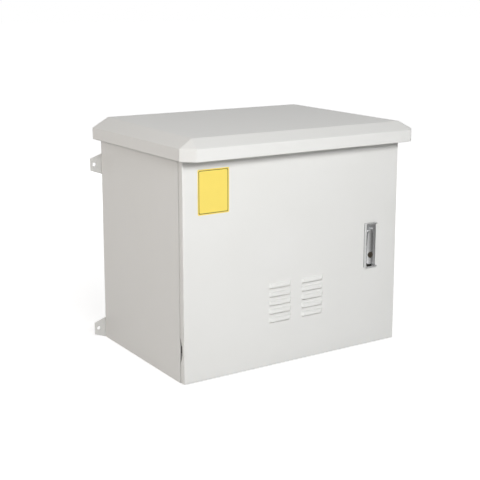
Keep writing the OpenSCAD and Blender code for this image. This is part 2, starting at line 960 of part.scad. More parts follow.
// Folded pan: rounded along all four sides, hollow, with returns round its open back
module door_pan() {
  difference() {
    intersection() {
      translate([0, 0, door_lift])
        linear_extrude(door_top - door_lift)
          round_rect([-x_side, x_side], [y_face, y_rear], door_bend);
      along_x([-x_side, x_side])
        round_rect([y_face, y_rear], [door_lift, door_top], door_bend);
    }
    block([-x_wall, x_wall], [y_pan, y_rear - sheet], [door_lift + sheet, door_top - sheet]);
    block([-x_side + door_return, x_side - door_return], [y_pan, y_rear + eps],
          [door_lift + door_return, door_top - door_return]);
  }
}

module at_louvres() {
  for (x = louvre_xs, z = louvre_zs)
    translate([x, 0, z])
      children();
}

// Plan of a louvre: ends that slope out to the sheet, rounded where they leave the front
module louvre_plan(inset, depth) {
  lean = norm([1, louvre_slope]);
  half = louvre_w / 2 - inset * lean;
  front = y_face - louvre_out + inset;
  r = louvre_round - inset;
  mid_x = half - r * lean - louvre_slope * (louvre_out - inset - r);
  mid_y = front + r;
  foot = half + louvre_slope * (depth - y_face);
  shoulder = [mid_x + r / lean, mid_y - r * louvre_slope / lean];
  polygon([
    [-foot, depth], [-shoulder[0], shoulder[1]], [-mid_x, front],
    [mid_x, front], shoulder, [foot, depth]
  ]);
  for (side = [-1, 1])
    translate([side * mid_x, mid_y])
      circle(r);
}

// One louvre above z = 0; with an inset it is the space under it, cut through the sheet
module louvre_form(inset) {
  depth = inset > 0 ? y_pan + eps : y_face + sheet / 2;
  low = inset > 0 ? -louvre_slit : 0;
  intersection() {
    rod_x([-louvre_w, louvre_w], louvre_axis, 0, louvre_r - inset);
    translate([0, 0, low])
      linear_extrude(2 * louvre_h)
        louvre_plan(inset, depth);
  }
}

module handle_cutout() {
  half_w = block_w / 2 + cut_room;
  block([x_base - half_w, x_base + half_w], [y_face - eps, y_pan + eps],
        [block_z[0] - cut_room, block_z[1] + cut_room]);
}

// Relief in the left flange that lets the body's leaf pass as the door opens
module hinge_notch() {
  along_x([-x_side - eps, x_hinge + knuckle_r + eps])
    polygon([
      [y_rear + eps, lower_hinge_z + notch_z], [y_rear, lower_hinge_z + notch_z],
      [notch_y, lower_hinge_z + notch_flat], [notch_y, lower_hinge_z - notch_flat],
      [y_rear, lower_hinge_z - notch_z], [y_rear + eps, lower_hinge_z - notch_z]
    ]);
}

// Foam seal inside the pan, opposite the rim of the body's lips
module door_seal() {
  rim_x = x_lip + sheet / 2;
  low = floor_lip_h - sheet / 2;
  high = roof_lip_z + sheet / 2;
  half = seal_w / 2;
  color(black)
    difference() {
      block([-rim_x - half, rim_x + half], [y_pan, y_pan + seal_t], [low - half, high + half]);
      block([-rim_x + half, rim_x - half], [y_pan - eps, y_pan + seal_t + eps], [low + half, high - half]);
    }
}

module at_filter_studs() {
  for (side = [-1, 1], end = [-1, 1])
    translate([side * filter_stud_x, 0, filter_z + end * filter_stud_z])
      children();
}

// Folded frame over the louvres, slotted where each louvre is
module filter_frame() {
  half_w = filter_w / 2;
  half_h = filter_h / 2;
  wide = half_w + filter_flange;
  high = half_h + filter_flange;
  face = y_pan + filter_t;
  color(zinc)
    difference() {
      union() {
        block([-wide, wide], [y_pan, y_pan + filter_sheet], [filter_z - high, filter_z + high]);
        block([-half_w, half_w], [y_pan, face], [filter_z - half_h, filter_z + half_h]);
      }
      block([-half_w + filter_sheet, half_w - filter_sheet], [y_pan - eps, face - filter_sheet],
            [filter_z - half_h + filter_sheet, filter_z + half_h - filter_sheet]);
      at_louvres()
        translate([0, 0, louvre_h / 2])
          along_y([face - 2 * filter_sheet, face + eps])
            slot(louvre_w, filter_slot_h);
      at_filter_studs()
        rod_y(0, [y_pan - eps, y_pan + filter_sheet + eps], 0, m4_r + hole_gap);
    }
}

module filter_mat() {
  half_w = filter_w / 2 - filter_sheet - weld_gap;
  half_h = filter_h / 2 - filter_sheet - weld_gap;
  color([0.9, 0.9, 0.88])
    block([-half_w, half_w], [y_pan + weld_gap, y_pan + filter_t - filter_sheet - weld_gap],
          [filter_z - half_h, filter_z + half_h]);
}

module filter_nuts() {
  seat = y_pan + filter_sheet;
  color(zinc)
    at_filter_studs()
      difference() {
        rod_y(0, [seat, seat + m4_nut], 0, m4_hex_r, 6);
        rod_y(0, [seat - eps, seat + m4_nut + eps], 0, m4_r + fit);
      }
}

// Outline of the handle's base
module base_outline() {
  round_rect([x_base - base_w / 2, x_base + base_w / 2], [handle_z, handle_z + base_h], base_corner);
}

// The dish inside the rim; it runs out past the base on the open side
module dish_outline() {
  round_rect([x_base - base_w / 2 + rim_wall, x_base + base_w],
             [handle_z + rim_foot, handle_z + base_h - rim_wall], dish_corner);
}

module at_handle_screws() {
  for (z = screw_zs)
    translate([x_base, 0, z])
      children();
}

// The pocket below the lever's tip, sunk into the block, with room round what lies in it
module tip_pocket(y, room) {
  half = pocket_w / 2 - room;
  block([x_handle - half, x_handle + half], y,
        [handle_z + rim_foot + room, lever_tip + pocket_under - room]);
}

// Cast base: rim, dish for the lever, pocket below its tip, and a block through the door
module handle_base() {
  color(chrome)
    difference() {
      union() {
        along_y([y_rim_face, y_base])
          base_outline();
        block([x_base - block_w / 2, x_base + block_w / 2], [y_base - eps, block_y], block_z);
      }
      along_y([y_rim_face - eps, y_dish])
        dish_outline();
      tip_pocket([y_dish - eps, y_dish + pocket_depth], 0);
      rod_y(x_handle, [y_dish - eps, y_shoulder], z_spindle, spindle_d / 2 + fit);
      rod_y(x_handle, [y_shoulder - eps, block_y + eps], z_spindle, spindle_tail_r + fit);
      at_handle_screws()
        rod_y(0, [block_y - screw_in - eps, block_y + eps], 0, m4_r + fit);
    }
}

module handle_gasket() {
  half_w = block_w / 2 + weld_gap;
  color(black)
    difference() {
      along_y([y_base, y_face])
        base_outline();
      block([x_base - half_w, x_base + half_w], [y_base - eps, y_face + eps],
            [block_z[0] - weld_gap, block_z[1] + weld_gap]);
    }
}

// Steel bridge that pulls the base against the door: feet on the sheet, strap on the block
module handle_clamp() {
  inner = block_w / 2 + cut_room + run_gap;
  outer = inner + clamp_t;
  color(zinc)
    difference() {
      union() {
        block([x_base - outer, x_base + outer], [block_y, block_y + clamp_t], clamp_z);
        for (side = [0, 1])
          translate([x_base, 0, 0])
            mirror([side, 0, 0])
              block([inner, outer], [y_pan, block_y + clamp_t], clamp_z);
      }
      at_handle_screws()
        rod_y(0, [block_y - eps, block_y + clamp_t + eps], 0, m4_r + hole_gap);
    }
}

module handle_screws() {
  seat = block_y + clamp_t;
  color(zinc)
    at_handle_screws() {
      rod_y(0, [block_y - screw_in, seat + eps], 0, m4_r);
      rod_y(0, [seat, seat + m4_nut], 0, m4_hex_r, 6);
    }
}

// Black pad that lines the pocket, dished for a fingertip
module catch_pad() {
  floor = y_dish + pocket_depth;
  color(black)
    difference() {
      tip_pocket([y_dish + weld_gap, floor], weld_gap);
      tip_pocket([y_dish, floor - pad_wall], weld_gap + pad_wall);
    }
}

// Turning spindle: fork for the lever in front, square for the cam behind
module handle_spindle() {
  color(chrome)
    difference() {
      union() {
        rod_y(x_handle, [y_dish, y_shoulder - fit], z_spindle, spindle_d / 2);
        rod_y(x_handle, [y_shoulder - eps, cam_y], z_spindle, spindle_tail_r);
        block([x_handle - cam_square / 2, x_handle + cam_square / 2], [cam_y - eps, cam_y + cam_t - fit],
              [z_spindle - cam_square / 2, z_spindle + cam_square / 2]);
        intersection() {
          rod_y(x_handle, [lever_front, y_dish + eps], z_spindle, spindle_d / 2);
          for (side = [0, 1])
            translate([x_handle, 0, 0])
              mirror([side, 0, 0])
                union() {
                  rod_x([cheek_x, cheek_x + cheek_t], y_lever_pin, z_spindle, lever_t / 2);
                  block([cheek_x, cheek_x + cheek_t], [y_lever_pin, y_dish + eps],
                        [z_spindle - lever_t / 2, z_spindle + lever_t / 2]);
                }
        }
      }
      rod_x([x_handle - spindle_d, x_handle + spindle_d], y_lever_pin, z_spindle, lever_pin_r + fit);
      rod_y(x_handle, [cam_y - cam_bolt_len - thread_end, cam_y + cam_t + eps], z_spindle, m6_r + fit);
    }
}

module lever_pin() {
  reach = cheek_x + cheek_t - pin_short;
  color(zinc)
    rod_x([x_handle - reach, x_handle + reach], y_lever_pin, z_spindle, lever_pin_r);
}

module latch_cam() {
  color(zinc)
    difference() {
      along_y([cam_y, cam_y + cam_t])
        translate([x_handle, z_spindle])
          union() {
            circle(cam_w / 2 + cam_hub);
            translate([0, -cam_w / 2])
              square([cam_reach - cam_w / 2, cam_w]);
            translate([cam_reach - cam_w / 2, 0])
              circle(cam_w / 2);
          }
      translate([x_handle, cam_y, z_spindle])
        cube([cam_square + 2 * fit, 4 * cam_t, cam_square + 2 * fit], center = true);
    }
}

module cam_bolt() {
  seat = cam_y + cam_t;
  color(zinc) {
    rod_y(x_handle, [cam_y - cam_bolt_len, seat + eps], z_spindle, m6_r);
    rod_y(x_handle, [seat, seat + cam_washer], z_spindle, cam_w / 2);
    rod_y(x_handle, [seat, seat + cam_washer + m6_head], z_spindle, m6_hex_r, 6);
  }
}

// Outline of the lever in x and z, its axis at x = 0: neck, sloping shoulders, square end
module lever_outline() {
  neck = z_spindle - neck_len;
  shoulder = neck - shoulder_len;
  end = lever_tip + lever_corner;
  polygon([
    [-tongue_w / 2, z_spindle], [-tongue_w / 2, neck], [-lever_head_w / 2, shoulder], [-lever_w / 2, end],
    [lever_w / 2, end], [lever_head_w / 2, shoulder], [tongue_w / 2, neck], [tongue_w / 2, z_spindle]
  ]);
  translate([-lever_w / 2 + lever_corner, lever_tip])
    square([lever_w - 2 * lever_corner, lever_corner + eps]);
  for (side = [-1, 1])
    translate([side * (lever_w / 2 - lever_corner), end])
      circle(lever_corner);
}

// Lever: crowned bar with a tongue between the fork's cheeks and a seat for the lock
module lever() {
  color(chrome)
    difference() {
      union() {
        intersection() {
          along_y([lever_front, lever_back])
            translate([x_handle, 0])
              lever_outline();
          rod_z(x_handle, lever_front + crown_r, [lever_tip - eps, z_spindle - lever_t / 2], crown_r);
        }
        rod_x([x_handle - tongue_w / 2, x_handle + tongue_w / 2], y_lever_pin, z_spindle, lever_t / 2);
        block([x_handle - tongue_w / 2, x_handle + tongue_w / 2], [y_lever_pin, lever_back],
              [z_spindle - neck_len, z_spindle]);
      }
      rod_x([x_handle - tongue_w, x_handle + tongue_w], y_lever_pin, z_spindle, lever_pin_r + fit);
      rod_y(x_handle, [lever_front - eps, lever_back + eps], lock_z, barrel_d / 2 + fit);
    }
}

module lock_barrel() {
  color(dark)
    difference() {
      rod_y(x_handle, [lever_front - barrel_proud, lever_back], lock_z, barrel_d / 2);
      rod_y(x_handle, [lever_front - barrel_proud - eps, lever_back + eps], lock_z, core_d / 2 + fit);
    }
}

module lock_core() {
  front = lever_front - barrel_proud;
  color(brass)
    difference() {
      rod_y(x_handle, [front, lever_back], lock_z, core_d / 2);
      block([x_handle - key_slot_w / 2, x_handle + key_slot_w / 2], [front - eps, front + key_slot_in],
            [lock_z - key_slot_l / 2, lock_z + key_slot_l / 2]);
    }
}

body_wrap();
roof_plate();
floor_plate();
rain_hood();
hood_bearer_left();
hood_bearer_right();
hood_bolts();
hood_nuts();
wall_ear_lower_left();
wall_ear_lower_right();
wall_ear_upper_left();
wall_ear_upper_right();
ear_nuts();
depth_rail_lower_left();
depth_rail_lower_right();
depth_rail_upper_left();
depth_rail_upper_right();
rack_rail_left();
rack_rail_right();
rail_bolts();
rail_nuts();
gland_plate();
gland_screws();
cable_grommets();
earth_stud();
upper_hinge_bracket();
upper_hinge_pin();
lower_hinge_leaf();
lower_hinge_pin();
door_panel();
upper_hinge_bush();
lower_hinge_door_leaf();
door_seal();
filter_frame();
filter_mat();
filter_nuts();
handle_base();
handle_gasket();
handle_clamp();
handle_screws();
catch_pad();
handle_spindle();
lever_pin();
latch_cam();
cam_bolt();
lever();
lock_barrel();
lock_core();
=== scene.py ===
"""Outdoor wall-mounted equipment cabinet: finishes, soft pieces, label and studio stage."""

import json
import math

import bpy
from bpy.props import FloatProperty, FloatVectorProperty, PointerProperty
from mathutils import Matrix, Vector, noise


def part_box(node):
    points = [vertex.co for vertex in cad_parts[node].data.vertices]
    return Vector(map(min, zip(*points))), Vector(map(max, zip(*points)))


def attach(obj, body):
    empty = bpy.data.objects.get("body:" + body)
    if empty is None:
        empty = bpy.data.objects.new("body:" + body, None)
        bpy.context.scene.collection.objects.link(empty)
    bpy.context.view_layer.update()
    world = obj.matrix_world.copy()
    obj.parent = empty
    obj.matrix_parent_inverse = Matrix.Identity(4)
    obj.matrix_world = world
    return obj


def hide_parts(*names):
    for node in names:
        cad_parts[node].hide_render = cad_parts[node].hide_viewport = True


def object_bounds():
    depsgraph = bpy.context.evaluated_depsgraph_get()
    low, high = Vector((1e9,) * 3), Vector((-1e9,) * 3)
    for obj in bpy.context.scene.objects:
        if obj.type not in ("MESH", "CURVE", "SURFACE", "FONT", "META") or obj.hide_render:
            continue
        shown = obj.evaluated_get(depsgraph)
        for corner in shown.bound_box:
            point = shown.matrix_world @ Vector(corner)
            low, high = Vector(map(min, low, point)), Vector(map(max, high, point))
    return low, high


bl_info = {
    "name": "Outdoor Wall Cabinet",
    "version": (1, 0, 0),
    "blender": (4, 5, 0),
    "location": "View3D > Sidebar > Cabinet",
    "description": "Dresses the packed cabinet: paint, plating, chrome, seal, filter mat, label and stage",
    "category": "Object",
}

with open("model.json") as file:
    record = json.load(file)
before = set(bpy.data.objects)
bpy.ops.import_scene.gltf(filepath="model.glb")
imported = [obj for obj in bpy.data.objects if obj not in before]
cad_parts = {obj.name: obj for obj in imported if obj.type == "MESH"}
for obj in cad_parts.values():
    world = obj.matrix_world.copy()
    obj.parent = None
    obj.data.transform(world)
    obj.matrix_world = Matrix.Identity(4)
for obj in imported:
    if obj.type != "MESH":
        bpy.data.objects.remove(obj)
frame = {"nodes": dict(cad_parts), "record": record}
CAD_BOX = [list(corner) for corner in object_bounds()]
MM = 0.001

# Edges that turn by more degrees than this stay sharp; the hood's folds are shallower than the rest.
FOLD_ANGLE = 25
HOOD_FOLD_ANGLE = 10
# Faces that turn by fewer degrees than this are one flat face.
FLAT_ANGLE = 0.3
# Corners closer than this are one point.
SAME_POINT = 0.002 * MM

# The picture's height and the lens shift that frames the cabinet in it, in pixels.
PICTURE_PX = 480
SHIFT_PX = -40
# Width of the camera's sensor.
SENSOR_MM = 36

WHITE = (1, 1, 1)


def linear(code):
    """sRGB hex colour as linear red, green and blue."""
    parts = [int(code[i:i + 2], 16) / 255 for i in (1, 3, 5)]
    return tuple(c / 12.92 if c <= 0.04045 else ((c + 0.055) / 1.055) ** 2.4 for c in parts)


def colour(name, about, code):
    """A colour property whose default is an sRGB hex code."""
    return FloatVectorProperty(name=name, description=about, subtype="COLOR", size=3, min=0, max=1,
                               default=linear(code))


def length(name, about, millimetres):
    """A length property whose default is given in millimetres."""
    return FloatProperty(name=name, description=about, unit="LENGTH", min=0, default=millimetres * MM)


def angle(name, about, degrees):
    """An angle property whose default is given in degrees."""
    return FloatProperty(name=name, description=about, subtype="ANGLE", default=math.radians(degrees))


def watts(name, about, power):
    """A lamp power property."""
    return FloatProperty(name=name, description=about, unit="POWER", min=0, default=power)


class CabinetColours(bpy.types.PropertyGroup):
    """Colours of the finishes"""
    paint: colour("Paint", "Powder coat of the sheet metal", "#E3E3E1")
    paint_shade: colour("Paint shade", "Darker end of the powder coat's slight unevenness", "#DFDFDC")
    zinc: colour("Zinc", "Bright zinc plating", "#C3C5C6")
    zinc_shade: colour("Zinc shade", "Duller patches of the zinc plating", "#A3A6A8")
    # Real dark zinc, and on the lower hinge also painted shade: its darkness stands for the shade inside
    # the hinge notch.
    dark_zinc: colour("Dark zinc", "Black-passivated zinc of the lock barrel and lower hinge", "#57524A")
    chrome: colour("Chrome", "Chrome plating of the handle", "#E0E1E2")
    brass: colour("Brass", "Turned brass of the earth stud", "#B59A62")
    lock_brass: colour("Lock brass", "Tarnished brass of the lock core", "#6E675B")
    rubber: colour("Rubber", "Black rubber of grommets and gasket", "#1B1B1C")
    foam: colour("Foam", "Foamed door seal", "#232324")
    nylon: colour("Nylon", "Moulded black nylon", "#1A1A1C")
    fleece: colour("Fleece", "Polyester filter fleece", "#E6E5E0")
    # Painted shade: the grey given to the hollows between the fleece's fibres.
    fleece_painted_shade: colour("Fleece shade", "Hollows between the fleece's fibres", "#C9C7C0")
    label: colour("Label", "Face of the blank label", "#F4DC6A")
    label_border: colour("Label border", "Border line of the blank label", "#4A3818")
    floor: colour("Floor", "Studio floor under the light that is added where it is seen", "#C8C8C8")


class CabinetSizes(bpy.types.PropertyGroup):
    """Sizes of the roundings, the seal and the label"""
    fold: length("Fold radius", "Rounding of the hood's folds", 1.6)
    edge: length("Edge radius", "Paint rounding on cut sheet edges", 0.4)
    cast_edge: length("Cast edge radius", "Rounding of the handle's cast edges", 0.3)
    peel: length("Orange peel", "Spacing of the powder coat's orange peel", 2.4)
    seal_width: length("Seal width", "Width of the foamed seal", 12)
    seal_corner: length("Seal corner", "Radius of the seal's middle line at its corners", 14)
    label_width: length("Label width", "Width of the blank label", 79.5)
    label_height: length("Label height", "Height of the blank label", 100)
    label_thick: length("Label thickness", "Thickness of the label's film", 0.15)
    label_side: length("Label to door edge", "From the door's left edge to the label", 37)
    label_top: length("Label to door top", "From the door's top edge to the label", 21)
    label_corner: length("Label corner", "Corner radius of the label", 3)
    border_start: length("Border start", "From the label's edge to the outside of its border line", 2.5)
    border_end: length("Border end", "From the label's edge to the inside of its border line", 3.9)


class CabinetStage(bpy.types.PropertyGroup):
    """Camera and lamps"""
    lens: FloatProperty(name="Lens", description="Focal length in millimetres", unit="CAMERA", min=1,
                        default=76.633)
    azimuth: angle("Azimuth", "Camera's turn to the object's left", 32.79)
    elevation: angle("Elevation", "Camera's height above the horizon", 11.214)
    distance: length("Distance", "From the camera to the point it looks at", 2459.139)
    target: FloatVectorProperty(name="Target", description="Point the camera looks at",
                                subtype="TRANSLATION", default=(-0.041355, 0, 0.35987))
    shift: FloatProperty(name="Shift", description="Upward shift of the lens, in picture heights",
                         default=SHIFT_PX / PICTURE_PX)
    key: watts("Front lamp", "Power of the softbox in front of the door", 35)
    overhead: watts("Top lamp", "Power of the softbox above the hood", 0.5)
    left: watts("Left lamp", "Power of the slightly warm softbox at the left", 15.5)
    right: watts("Right lamp", "Power of the softbox at the right", 12)
    behind: watts("Back lamp", "Power of the softbox behind the cabinet", 17)
    edge: watts("Edge lamp", "Power of the softbox that only the gloss of the door and lever shows", 130)
    ambient: FloatProperty(name="Ambient", description="Even light from all round", min=0, default=0.22)


def add(tree, kind, settings=None, links=None):
    """Adds a node; settings go to its sockets or properties, links join sockets to earlier outputs."""
    made = tree.nodes.new(kind)
    for key, value in (settings or {}).items():
        if isinstance(key, int) or key in made.inputs:
            made.inputs[key].default_value = value
        else:
            setattr(made, key, value)
    for key, source in (links or {}).items():
        tree.links.new(source, made.inputs[key])
    return made


def rgba(rgb):
    """A colour with full opacity."""
    return (*rgb, 1)


def scaled(rgb, share):
    """A darker or paler colour: every channel times a share."""
    return tuple(share * c for c in rgb)


def per_mm(spacing_mm):
    """Texture scale that puts one feature every so many millimetres."""
    return 1 / (spacing_mm * MM)


def start_material(name):
    """A new node material, its tree, its shader and object coordinates in metres."""
    material = bpy.data.materials.new(name)
    material.use_nodes = True
    tree = material.node_tree
    shader = tree.nodes["Principled BSDF"]
    place = add(tree, "ShaderNodeTexCoord").outputs["Object"]
    return material, tree, shader, place


def feed(tree, shader, tint=None, gloss=None, skin=None):
    """Links a material's colour, roughness and bump nodes, where it has them, to its shader."""
    if tint:
        tree.links.new(tint.outputs[2], shader.inputs["Base Color"])
    if gloss:
        tree.links.new(gloss.outputs["Result"], shader.inputs["Roughness"])
    if skin:
        tree.links.new(skin.outputs["Normal"], shader.inputs["Normal"])


def powder_coat(colours, sizes):
    # Polyester powder, sprayed on and baked: an even satin skin with a fine orange peel.
    # The peel is drawn at about twice its real spacing so that it shows in the render.
    material, tree, shader, place = start_material("polyester_powder_coat")
    cloud = add(tree, "ShaderNodeTexNoise", {"Scale": per_mm(140), "Detail": 3.0}, {"Vector": place})
    tint = add(tree, "ShaderNodeMix",
               {"data_type": "RGBA", 6: rgba(colours.paint_shade), 7: rgba(colours.paint)},
               {0: cloud.outputs["Fac"]})
    peel = add(tree, "ShaderNodeTexNoise", {"Scale": 1 / sizes.peel, "Detail": 2.0, "Roughness": 0.45},
               {"Vector": place})
    skin = add(tree, "ShaderNodeBump", {"Strength": 0.16, "Distance": 0.05 * MM},
               {"Height": peel.outputs["Fac"]})
    gloss = add(tree, "ShaderNodeMapRange", {"To Min": 0.40, "To Max": 0.50},
                {"Value": cloud.outputs["Fac"]})
    feed(tree, shader, tint, gloss, skin)
    return material


def zinc_plate(colours):
    # Bright zinc on rolled steel: a pale metal with soft, slightly cloudy reflections and rolling lines.
    material, tree, shader, place = start_material("bright_zinc_plated_steel")
    cloud = add(tree, "ShaderNodeTexNoise", {"Scale": per_mm(9), "Detail": 4.0}, {"Vector": place})
    tint = add(tree, "ShaderNodeMix",
               {"data_type": "RGBA", 6: rgba(colours.zinc_shade), 7: rgba(colours.zinc)},
               {0: cloud.outputs["Fac"]})
    stretch = add(tree, "ShaderNodeMapping", {"Scale": (1, 1, 0.04)}, {"Vector": place})
    lines = add(tree, "ShaderNodeTexNoise", {"Scale": per_mm(0.8), "Detail": 2.0},
                {"Vector": stretch.outputs[0]})
    gloss = add(tree, "ShaderNodeMapRange", {"To Min": 0.26, "To Max": 0.46},
                {"Value": cloud.outputs["Fac"]})
    skin = add(tree, "ShaderNodeBump", {"Strength": 0.1, "Distance": 0.02 * MM},
               {"Height": lines.outputs["Fac"]})
    shader.inputs["Metallic"].default_value = 1
    feed(tree, shader, tint, gloss, skin)
    return material


def passivated_zinc_and_painted_shade(colours):
    # Black-passivated zinc: a dark olive metal film, dull, with paler rubbed patches. On the lower hinge
    # its darkness also paints the shade inside the door's hinge notch.
    material, tree, shader, place = start_material("black_zinc_and_painted_shade")
    cloud = add(tree, "ShaderNodeTexNoise", {"Scale": per_mm(4), "Detail": 4.0}, {"Vector": place})
    rubbed = scaled(colours.dark_zinc, 1.5)
    tint = add(tree, "ShaderNodeMix", {"data_type": "RGBA", 6: rgba(colours.dark_zinc), 7: rgba(rubbed)},
               {0: cloud.outputs["Fac"]})
    gloss = add(tree, "ShaderNodeMapRange", {"To Min": 0.34, "To Max": 0.52},
                {"Value": cloud.outputs["Fac"]})
    skin = add(tree, "ShaderNodeBump", {"Strength": 0.1, "Distance": 0.02 * MM},
               {"Height": cloud.outputs["Fac"]})
    shader.inputs["Metallic"].default_value = 1
    feed(tree, shader, tint, gloss, skin)
    return material


def chrome_plate(colours):
    # Chrome on a polished zinc casting: a bright, slightly soft mirror, faintly wavy, with handling haze.
    material, tree, shader, place = start_material("chrome_plated_casting")
    haze = add(tree, "ShaderNodeTexNoise", {"Scale": per_mm(16), "Detail": 3.0}, {"Vector": place})
    gloss = add(tree, "ShaderNodeMapRange", {"To Min": 0.18, "To Max": 0.27},
                {"Value": haze.outputs["Fac"]})
    wave = add(tree, "ShaderNodeTexNoise", {"Scale": per_mm(7), "Detail": 1.0}, {"Vector": place})
    skin = add(tree, "ShaderNodeBump", {"Strength": 0.08, "Distance": 0.05 * MM},
               {"Height": wave.outputs["Fac"]})
    shader.inputs["Metallic"].default_value = 1
    shader.inputs["Base Color"].default_value = rgba(colours.chrome)
    feed(tree, shader, gloss=gloss, skin=skin)
    return material


def turned_brass(name, rgb):
    # Turned brass, more or less tarnished: warm metal with fine tool marks.
    material, tree, shader, place = start_material(name)
    marks = add(tree, "ShaderNodeTexNoise", {"Scale": per_mm(0.9), "Detail": 3.0}, {"Vector": place})
    tint = add(tree, "ShaderNodeMix", {"data_type": "RGBA", 6: rgba(scaled(rgb, 0.7)), 7: rgba(rgb)},
               {0: marks.outputs["Fac"]})
    gloss = add(tree, "ShaderNodeMapRange", {"To Min": 0.24, "To Max": 0.42},
                {"Value": marks.outputs["Fac"]})
    skin = add(tree, "ShaderNodeBump", {"Strength": 0.15, "Distance": 0.03 * MM},
               {"Height": marks.outputs["Fac"]})
    shader.inputs["Metallic"].default_value = 1
    feed(tree, shader, tint, gloss, skin)
    return material


def black_polymer(name, rgb, grain_mm, depth_mm, rough):
    # Black moulded or foamed polymer: dull, with a skin of small grains or cells.
    material, tree, shader, place = start_material(name)
    grain = add(tree, "ShaderNodeTexVoronoi", {"Scale": per_mm(grain_mm)}, {"Vector": place})
    cloud = add(tree, "ShaderNodeTexNoise", {"Scale": per_mm(25), "Detail": 3.0}, {"Vector": place})
    pale = tuple(1.5 * c + 0.004 for c in rgb)
    tint = add(tree, "ShaderNodeMix", {"data_type": "RGBA", 6: rgba(rgb), 7: rgba(pale)},
               {0: cloud.outputs["Fac"]})
    gloss = add(tree, "ShaderNodeMapRange", {"To Min": rough - 0.08, "To Max": rough + 0.06},
                {"Value": cloud.outputs["Fac"]})
    skin = add(tree, "ShaderNodeBump", {"Strength": 0.5, "Distance": depth_mm * MM},
               {"Height": grain.outputs["Distance"]})
    feed(tree, shader, tint, gloss, skin)
    return material


def filter_fleece(colours):
    # Needled polyester fleece: white crossing fibres, matt and hairy; the hollows between them are greyed
    # with painted shade.
    # Fibres are drawn coarser than real ones so that they show.
    material, tree, shader, place = start_material("polyester_fleece")
    heights = []
    for squeeze in ((1, 1, 0.12), (0.12, 1, 1)):
        along = add(tree, "ShaderNodeMapping", {"Scale": squeeze}, {"Vector": place})
        fibres = add(tree, "ShaderNodeTexNoise", {"Scale": per_mm(0.9), "Detail": 4.0, "Distortion": 0.6},
                     {"Vector": along.outputs[0]})
        heights.append(fibres.outputs["Fac"])
    crossed = add(tree, "ShaderNodeMath", {"operation": "MAXIMUM"}, {0: heights[0], 1: heights[1]})
    spread = add(tree, "ShaderNodeMapRange", {"From Min": 0.4, "From Max": 0.68},
                 {"Value": crossed.outputs[0]})
    # Painted shade: where the fibre heights are low, the colour is mixed towards the painted shade.
    tint = add(tree, "ShaderNodeMix",
               {"data_type": "RGBA", 6: rgba(colours.fleece_painted_shade), 7: rgba(colours.fleece)},
               {0: spread.outputs["Result"]})
    skin = add(tree, "ShaderNodeBump", {"Strength": 0.7, "Distance": 0.4 * MM},
               {"Height": crossed.outputs[0]})
    shader.inputs["Roughness"].default_value = 0.95
    shader.inputs["Sheen Weight"].default_value = 0.3
    feed(tree, shader, tint, skin=skin)
    return material


def label_film(name, rgb):
    # Printed vinyl film: an even, slightly glossy skin with faint waves from the paint under it.
    material, tree, shader, place = start_material(name)
    cloud = add(tree, "ShaderNodeTexNoise", {"Scale": per_mm(30), "Detail": 2.0}, {"Vector": place})
    tint = add(tree, "ShaderNodeMix", {"data_type": "RGBA", 6: rgba(scaled(rgb, 0.94)), 7: rgba(rgb)},
               {0: cloud.outputs["Fac"]})
    wave = add(tree, "ShaderNodeTexNoise", {"Scale": per_mm(5), "Detail": 1.0}, {"Vector": place})
    skin = add(tree, "ShaderNodeBump", {"Strength": 0.1, "Distance": 0.05 * MM},
               {"Height": wave.outputs["Fac"]})
    shader.inputs["Roughness"].default_value = 0.38
    feed(tree, shader, tint, skin=skin)
    return material


def nodes_of(slot):
    """The CAD objects whose finish is a record slot, by name."""
    rows = frame["record"]["subparts"]
    return {row["node"]: frame["nodes"][row["node"]] for row in rows if row["material_slot"] == slot}


def dress(obj, material):
    """Puts one material in every slot of an object."""
    if not obj.material_slots:
        obj.data.materials.append(material)
    for place in obj.material_slots:
        place.material = material


def fold_shading(degrees):
    """Node group that joins split corners and keeps only folds above an angle sharp."""
    name = f"fold_shading_{degrees}"
    found = bpy.data.node_groups.get(name)
    if found:
        return found
    tree = bpy.data.node_groups.new(name, "GeometryNodeTree")
    for way in ("INPUT", "OUTPUT"):
        tree.interface.new_socket("Geometry", in_out=way, socket_type="NodeSocketGeometry")
    source = add(tree, "NodeGroupInput")
    joined = add(tree, "GeometryNodeMergeByDistance", {"Distance": SAME_POINT},
                 {"Geometry": source.outputs[0]})
    bend = add(tree, "GeometryNodeInputMeshEdgeAngle")
    sharp = add(tree, "FunctionNodeCompare", {"operation": "GREATER_THAN", 1: math.radians(degrees)},
                {0: bend.outputs["Unsigned Angle"]})
    shaded = add(tree, "GeometryNodeSetMeshNormal", {"mode": "SHARPNESS", "Remove Custom": True},
                 {"Mesh": joined.outputs["Geometry"], "Edge Sharpness": sharp.outputs["Result"]})
    add(tree, "NodeGroupOutput", None, {0: shaded.outputs["Mesh"]})
    return tree


def shade_folds(obj, degrees=FOLD_ANGLE):
    """Shades an object smooth between its folds by a modifier, so its mesh stays as it is."""
    group = obj.modifiers.new("fold_shading", "NODES")
    group.node_group = fold_shading(degrees)


def soften(obj, radius, segments=2, degrees=FOLD_ANGLE, flatten=True, clamp=False):
    """Shades an object and rounds its sharp edges by modifiers."""
    shade_folds(obj, degrees)
    if flatten:
        merge = obj.modifiers.new("flat_faces", "DECIMATE")
        merge.decimate_type = "DISSOLVE"
        merge.angle_limit = math.radians(FLAT_ANGLE)
    bevel = obj.modifiers.new("soft_edges", "BEVEL")
    bevel.width = radius
    bevel.segments = segments
    bevel.limit_method = "ANGLE"
    bevel.angle_limit = math.radians(degrees)
    bevel.use_clamp_overlap = clamp
    bevel.harden_normals = True


def new_piece(name, points, faces, body, materials):
    """A mesh object that rides on a body and takes the given materials."""
    mesh = bpy.data.meshes.new(name)
    mesh.from_pydata(points, [], faces)
    mesh.validate()
    for material in materials:
        mesh.materials.append(material)
    obj = bpy.data.objects.new(name, mesh)
    bpy.context.scene.collection.objects.link(obj)
    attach(obj, body)
    return obj


def smooth(obj):
    """Shades every face of a soft piece smooth."""
    for face in obj.data.polygons:
        face.use_smooth = True


